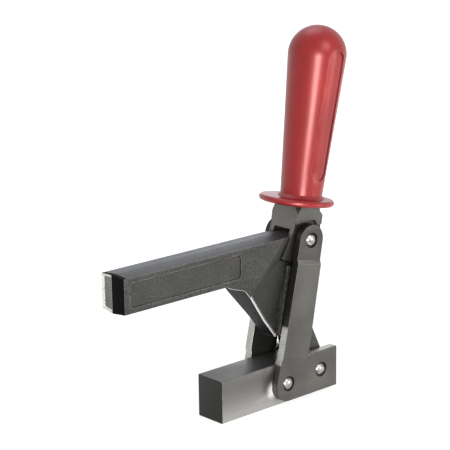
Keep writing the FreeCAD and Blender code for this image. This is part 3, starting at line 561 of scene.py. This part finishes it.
def newPiece(name, shape, nodeName, others=()):
    mesh = bpy.data.meshes.new(name)
    shape.to_mesh(mesh)
    shape.free()
    mesh.materials.append(finishes[slotOf[nodeName]])
    for finish in others:
        mesh.materials.append(faceFinishes[finish])
    piece = bpy.data.objects.new(name, mesh)
    bpy.context.scene.collection.objects.link(piece)
    return piece


# rivet heads: punched domes that stand as proud as the solid's ends and start down in the plates' rings
rivetHead = {"domeMm": 2.1, "domeSteps": 8, "stepsRound": 48, "sharpAngle": 35}
# which ends are domed: 1 is the near side, -1 the far side
rivets = {
    "frontRivet": {"node": "front_rivet", "domed": (-1, 1)},
    "rearPivotPin": {"node": "rear_pivot_pin", "domed": (-1, 1)},
    "handleRivetNear": {"node": "handle_rivet_near", "domed": (1,)},
    "handleRivetFar": {"node": "handle_rivet_far", "domed": (-1,)},
}


# radius and height from the rivet's middle, from the axis outwards
def rivetProfile(radius, reach, domed):
    if not domed:
        return [(0, reach), (radius, reach)]
    dome = rivetHead["domeMm"] * mm
    ball = (radius ** 2 + dome ** 2) / (2 * dome)
    spread = math.asin(radius / ball)
    angles = [spread * i / rivetHead["domeSteps"] for i in range(rivetHead["domeSteps"] + 1)]
    return [(ball * math.sin(a), reach - ball * (1 - math.cos(a))) for a in angles]


def domedRivet(name, size):
    low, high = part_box(size["node"])
    centre = (Vector(low) + Vector(high)) / 2
    radius = (high[0] - low[0]) / 2
    half = (high[1] - low[1]) / 2
    top = rivetProfile(radius, half, 1 in size["domed"])
    bottom = rivetProfile(radius, half, -1 in size["domed"])
    profile = top + [(r, -y) for r, y in reversed(bottom)]
    shape = bmesh.new()
    around = rivetHead["stepsRound"]
    rings = []
    for r, y in profile:
        if r == 0:
            rings.append([shape.verts.new(centre + Vector((0, y, 0)))])
            continue
        turns = [2 * math.pi * i / around for i in range(around)]
        rings.append([shape.verts.new(centre + Vector((r * math.cos(t), y, r * math.sin(t)))) for t in turns])
    for upper, lower in zip(rings, rings[1:]):
        for i in range(around):
            corners = [upper[i % len(upper)], upper[(i + 1) % len(upper)],
                       lower[(i + 1) % len(lower)], lower[i % len(lower)]]
            shape.faces.new(list(dict.fromkeys(corners)))
    bmesh.ops.recalc_face_normals(shape, faces=shape.faces)
    piece = newPiece(name, shape, size["node"])
    piece.data.shade_smooth()
    piece.data.set_sharp_from_angle(angle=math.radians(rivetHead["sharpAngle"]))
    put(piece, size["node"])


for rivetName, rivetSize in rivets.items():
    domedRivet(rivetName, rivetSize)
print("rivets headed:", len(rivets))

# pieces whose sharp solids get rounded edges: the edges' width, steps and least angle in degrees
softened = {
    "sidePlateNear": {"node": "side_plate_near", "edgeMm": 0.4, "steps": 3, "leastAngle": 24},
    "sidePlateFar": {"node": "side_plate_far", "edgeMm": 0.4, "steps": 3, "leastAngle": 24},
    "handleLever": {"node": "handle_lever", "edgeMm": 0.4, "steps": 3, "leastAngle": 24},
    "rearLink": {"node": "rear_link", "edgeMm": 0.6, "steps": 3, "leastAngle": 24},
    "baseBar": {"node": "base_bar", "edgeMm": 0.3, "steps": 2, "leastAngle": 24},
    "handGrip": {"node": "grip", "edgeMm": 0.5, "steps": 3, "leastAngle": 24},
    "clampArm": {"node": "clamp_arm", "edgeMm": 0.6, "steps": 3, "leastAngle": 24},
}
# the finishes that a piece has besides its own, in the order of their material numbers from 1
otherFinishes = {
    "clampArm": ("glint", "shadedTip", "shadeAndGlint", "undersideShade", "pocketShade", "litSlope"),
    "sidePlateNear": ("nearSheared", "innerShade", "litBend", "shadedHead"),
    "sidePlateFar": ("sheared", "innerShade", "litBend", "shadedHead"),
    "baseBar": ("shadedSawnEnd",),
    "handleLever": ("innerShade", "paleWeb"),
}
# how much of a face's normal lies along an axis: square to it, mostly along it, or leaning that way
square = 0.9
mostly = 0.5
leaning = 0.3
# triangles of a solid that lie in one plane within flatAngle degrees become one face
flattened = {"mergeMm": 0.001, "flatAngle": 0.4}


def flatShape(nodeName):
    shape = bmesh.new()
    shape.from_mesh(frame["nodes"][nodeName].data)
    bmesh.ops.remove_doubles(shape, verts=shape.verts, dist=flattened["mergeMm"] * mm)
    bmesh.ops.dissolve_limit(shape, angle_limit=math.radians(flattened["flatAngle"]), verts=shape.verts,
                             edges=shape.edges)
    return shape


def finishNumbers(pieceName):
    return {finish: i + 1 for i, finish in enumerate(otherFinishes[pieceName])}


# the clamp arm's own touches, in metres where a name doesn't say mm: the pocket sunk in its tip with painted
# shade beside and behind it, a painted highlight along the edge under its gusset, and the rear corners of its
# side panels
armTouches = {"tipFrom": 0.17, "shadedTipMm": 4.0, "pocketMarginMm": 2.8, "pocketDepthMm": 1.0,
              "crownLean": 0.02, "legLean": 0.05, "legHalf": 0.0079,
              "gussetFrom": 0.034, "gussetTo": 0.092, "gussetTop": 0.1006, "gussetHalf": 0.007,
              "brightEdgeMm": 1.8, "brightSteps": 4,
              "panelRear": 0.073, "panelHeights": (0.1038, 0.121), "panelHalf": 0.0105,
              "panelRoundMm": 7.0, "tighterRoundMm": 3.4, "nearRoundMm": 0.05, "nearlyMm": 0.01}
armFinish = finishNumbers("clampArm")


# the panels' rear corners get a smaller radius than the solid's
def tightenPanel(shape):
    old, new = armTouches["panelRoundMm"] * mm, armTouches["tighterRoundMm"] * mm
    for corner, side in zip(armTouches["panelHeights"], (1, -1)):
        oldCentre = Vector((armTouches["panelRear"] + old, corner + side * old))
        newCentre = Vector((armTouches["panelRear"] + new, corner + side * new))
        for vert in shape.verts:
            spoke = Vector((vert.co.x, vert.co.z)) - oldCentre
            if abs(vert.co.y) < armTouches["panelHalf"] or spoke.x > armTouches["nearlyMm"] * mm:
                continue
            if abs(spoke.length - old) > armTouches["nearRoundMm"] * mm:
                continue
            if spoke.y * side < armTouches["nearlyMm"] * mm:
                moved = newCentre + spoke * (new / old)
                vert.co.x, vert.co.z = moved.x, moved.y


def dressArm(shape):
    tightenPanel(shape)
    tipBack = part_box("clamp_arm")[1][0] - armTouches["shadedTipMm"] * mm
    bmesh.ops.bisect_plane(shape, geom=shape.verts[:] + shape.edges[:] + shape.faces[:],
                           plane_co=(tipBack, 0, 0), plane_no=(1, 0, 0))
    for face in shape.faces:
        middle = face.calc_center_median()
        inner = face.normal.x < -armTouches["legLean"] or abs(middle.y) < armTouches["legHalf"]
        # inner sides and sides leaning back get painted shade, with painted highlights along their low edges
        if abs(face.normal.y) > square and inner:
            face.material_index = armFinish["shadeAndGlint"]
        # faces looking down under the gusset get painted shade
        if face.normal.z < -leaning and armTouches["gussetFrom"] < middle.x < armTouches["gussetTo"]:
            face.material_index = armFinish["undersideShade"]
        # the crown's far slope gets painted light
        if face.normal.z > mostly and face.normal.y < -armTouches["crownLean"]:
            face.material_index = armFinish["litSlope"]
        # the tip's top gets painted shade
        if face.normal.z > mostly and middle.x > tipBack:
            face.material_index = armFinish["shadedTip"]
    # the tip's far face gets a painted highlight, its near face painted shade
    tip = [f for f in shape.faces if f.normal.x > square and f.calc_center_median().x > armTouches["tipFrom"]]
    for face in tip:
        face.material_index = armFinish["glint" if face.calc_center_median().y < 0 else "shadedTip"]
    farTip = [f for f in tip if f.material_index == armFinish["glint"]]
    bmesh.ops.inset_individual(shape, faces=farTip, thickness=armTouches["pocketMarginMm"] * mm,
                               depth=-armTouches["pocketDepthMm"] * mm)
    # the pocket's floor gets painted shade
    for face in farTip:
        face.material_index = armFinish["pocketShade"]
    # the gusset's lower edges lie between a side and a face that looks down; the bevel on them gets a painted
    # highlight
    bright = []
    for edge in shape.edges:
        middle = (edge.verts[0].co + edge.verts[1].co) / 2
        if len(edge.link_faces) != 2 or not armTouches["gussetFrom"] < middle.x < armTouches["gussetTo"]:
            continue
        if middle.z > armTouches["gussetTop"] or abs(middle.y) < armTouches["gussetHalf"]:
            continue
        sideways = sorted(abs(f.normal.y) for f in edge.link_faces)
        lowest = min(f.normal.z for f in edge.link_faces)
        if sideways[1] > mostly and sideways[0] < leaning and lowest < -leaning:
            bright.append(edge)
    bmesh.ops.bevel(shape, geom=bright, offset=armTouches["brightEdgeMm"] * mm,
                    segments=armTouches["brightSteps"], profile=0.5, affect="EDGES", clamp_overlap=True,
                    material=armFinish["glint"])
    print("gusset edges brightened:", len(bright))


# the side plates' own heights in metres: sheared edges above the foot, the head painted darker as shade, and
# the bend below it painted paler as light
plateTouches = {"shearedFrom": 0.0285, "headFrom": 0.106, "bendFrom": 0.09, "bendLean": (0.2, 0.75)}
plateFinish = finishNumbers("sidePlateFar")  # the near plate's numbers are the same


def dressPlate(shape):
    leanFrom, leanTo = plateTouches["bendLean"]
    for face in shape.faces:
        middle = face.calc_center_median()
        # faces turned inward get painted shade
        if face.normal.y * middle.y < -mostly * abs(middle.y):
            face.material_index = plateFinish["innerShade"]
        elif abs(face.normal.y) > square and middle.z > plateTouches["headFrom"]:
            face.material_index = plateFinish["shadedHead"]
        elif leanFrom < abs(face.normal.z) < leanTo and middle.z > plateTouches["bendFrom"]:
            face.material_index = plateFinish["litBend"]
        if abs(face.normal.y) < mostly and middle.z > plateTouches["shearedFrom"]:
            face.material_index = plateFinish["sheared"]


def dressBar(shape):
    for face in shape.faces:
        if abs(face.normal.x) > square:
            face.material_index = finishNumbers("baseBar")["shadedSawnEnd"]


# the lever is painted dark as shade inside its channel, and its front web is paler
leverTouches = {"innerShadeBelow": 0.1305, "innerHalf": 0.0128}
leverFinish = finishNumbers("handleLever")


def dressLever(shape):
    for face in shape.faces:
        middle = face.calc_center_median()
        if abs(middle.y) > leverTouches["innerHalf"]:
            continue
        turnedIn = abs(face.normal.y) > mostly or face.normal.z < -leaning
        if middle.z < leverTouches["innerShadeBelow"] and turnedIn:
            face.material_index = leverFinish["innerShade"]
        if face.normal.x > square:
            face.material_index = leverFinish["paleWeb"]


dressings = {
    "clampArm": dressArm,
    "sidePlateNear": dressPlate,
    "sidePlateFar": dressPlate,
    "baseBar": dressBar,
    "handleLever": dressLever,
}


def softenedPiece(name, size):
    shape = flatShape(size["node"])
    if name in dressings:
        dressings[name](shape)
    piece = newPiece(name, shape, size["node"], otherFinishes.get(name, ()))
    piece.data.shade_smooth()
    edge = piece.modifiers.new("edge", "BEVEL")
    edge.width = size["edgeMm"] * mm
    edge.segments = size["steps"]
    edge.limit_method = "ANGLE"
    edge.angle_limit = math.radians(size["leastAngle"])
    edge.harden_normals = True
    edge.miter_outer = "MITER_ARC"
    put(piece, size["node"])


for pieceName, pieceSize in softened.items():
    softenedPiece(pieceName, pieceSize)
print("pieces softened:", len(softened))


# 1 where the camera looks straight at a thing or sees it in metal or through glass
def seenDirectly(tree):
    path = addNode(tree, "ShaderNodeLightPath")
    seen = addNode(tree, "ShaderNodeMath", {
        0: path.outputs["Is Camera Ray"], 1: path.outputs["Is Glossy Ray"]}, operation="MAXIMUM")
    seen = addNode(tree, "ShaderNodeMath", {
        0: seen.outputs[0], 1: path.outputs["Is Transmission Ray"]}, operation="MAXIMUM")
    return seen.outputs[0]


# pale floor: plain to the light, and lifted to white for the camera and for reflections; its shadow stays
floorLook = {"width": 12.0, "dropMm": 0.2, "pale": "#c8c8c7", "nearGlow": 0.74, "farGlow": 1.0,
             "nearReach": 0.25, "farReach": 0.9}


def paleFloor():
    material, tree = emptyMaterial("paleFloor")
    matt = addNode(tree, "ShaderNodeBsdfDiffuse", {"Color": linear(floorLook["pale"])})
    place = addNode(tree, "ShaderNodeTexCoord").outputs["Object"]
    away = addNode(tree, "ShaderNodeVectorMath", {0: place}, operation="LENGTH")
    glowStrength = addNode(tree, "ShaderNodeMapRange", {
        "Value": away.outputs["Value"], "From Min": floorLook["nearReach"], "From Max": floorLook["farReach"],
        "To Min": floorLook["nearGlow"], "To Max": floorLook["farGlow"]}, interpolation_type="SMOOTHSTEP")
    glow = addNode(tree, "ShaderNodeEmission", {
        "Color": linear("#ffffff"), "Strength": glowStrength.outputs[0]})
    lifted = addNode(tree, "ShaderNodeAddShader", {0: matt.outputs[0], 1: glow.outputs[0]})
    showShader(tree, addNode(tree, "ShaderNodeMixShader", {
        0: seenDirectly(tree), 1: matt.outputs[0], 2: lifted.outputs[0]}))
    bpy.ops.mesh.primitive_plane_add(size=floorLook["width"],
                                     location=(0, 0, cadBox[0][2] - floorLook["dropMm"] * mm))
    floor = bpy.context.object
    floor.name = "floor"
    floor.data.materials.append(material)


paleFloor()

# world: white where the camera or a reflection looks past the floor, soft grey as a light
worldLight = {"ambient": 0.35, "seen": 1.0}


def softWorld():
    world = bpy.data.worlds.new("studio")
    bpy.context.scene.world = world
    world.use_nodes = True
    tree = world.node_tree
    tree.nodes.clear()
    strength = addNode(tree, "ShaderNodeMapRange", {
        "Value": seenDirectly(tree), "To Min": worldLight["ambient"], "To Max": worldLight["seen"]})
    back = addNode(tree, "ShaderNodeBackground", {
        "Color": linear("#ffffff"), "Strength": strength.outputs[0]})
    output = addNode(tree, "ShaderNodeOutputWorld")
    tree.links.new(back.outputs[0], output.inputs["Surface"])


softWorld()
print("floor and world made")

# round soft lamps, in degrees and metres from lampAim; azimuth turns from +Y towards +X, as the camera's does
lamps = {
    "key": {"azimuth": 0, "elevation": 40, "away": 1.5, "size": 0.7, "power": 6, "colour": "#ffffff"},
    "band": {"azimuth": 38, "elevation": 3, "away": 1.4, "size": 0.42, "power": 17, "colour": "#fffdfa"},
    "low": {"azimuth": -30, "elevation": 2, "away": 1.2, "size": 0.5, "power": 4, "colour": "#fffdf8"},
    "top": {"azimuth": 210, "elevation": 66, "away": 1.4, "size": 0.9, "power": 4, "colour": "#e4eeff"},
    "back": {"azimuth": 220, "elevation": 12, "away": 1.4, "size": 0.6, "power": 1.1, "colour": "#eaf1ff"},
}
lampAim = Vector((0.06, 0, 0.12))


def towards(azimuth, elevation):
    a, e = math.radians(azimuth), math.radians(elevation)
    return Vector((math.cos(e) * math.sin(a), math.cos(e) * math.cos(a), math.sin(e)))


for lampName, lamp in lamps.items():
    light = bpy.data.lights.new(lampName, "AREA")
    light.shape = "DISK"
    light.size = lamp["size"]
    light.energy = lamp["power"]
    light.color = linear(lamp["colour"])[:3]
    holder = bpy.data.objects.new(lampName, light)
    bpy.context.scene.collection.objects.link(holder)
    holder.visible_camera = False
    direction = towards(lamp["azimuth"], lamp["elevation"])
    holder.location = lampAim + direction * lamp["away"]
    holder.rotation_euler = direction.to_track_quat("Z", "Y").to_euler()
print("lamps set:", len(lamps))

# camera at the photograph's angle, as fitted to it: metres, degrees, the roll in radians
view = {"position": (0.8097, 0.8136, 0.4265), "azimuth": 42.009, "elevation": 14.607, "roll": -0.015,
        "focalPixels": 1613.77, "framePixels": 450, "sensorMm": 36, "nearest": 0.01, "farthest": 50}


def photoCamera():
    data = bpy.data.cameras.new("camera")
    data.sensor_width = view["sensorMm"]
    data.lens = view["focalPixels"] / view["framePixels"] * view["sensorMm"]
    data.clip_start = view["nearest"]
    data.clip_end = view["farthest"]
    camera = bpy.data.objects.new("camera", data)
    bpy.context.scene.collection.objects.link(camera)
    back = towards(view["azimuth"], view["elevation"])
    right = (-back).cross(Vector((0, 0, 1))).normalized()
    up = right.cross(-back)
    roll = view["roll"]
    turnedRight = right * math.cos(roll) + up * math.sin(roll)
    turnedUp = up * math.cos(roll) - right * math.sin(roll)
    turn = Matrix((turnedRight, turnedUp, back)).transposed().to_4x4()
    camera.matrix_world = Matrix.Translation(Vector(view["position"])) @ turn
    bpy.context.scene.camera = camera


photoCamera()
bpy.context.scene.view_settings.view_transform = "Standard"
print("camera placed")
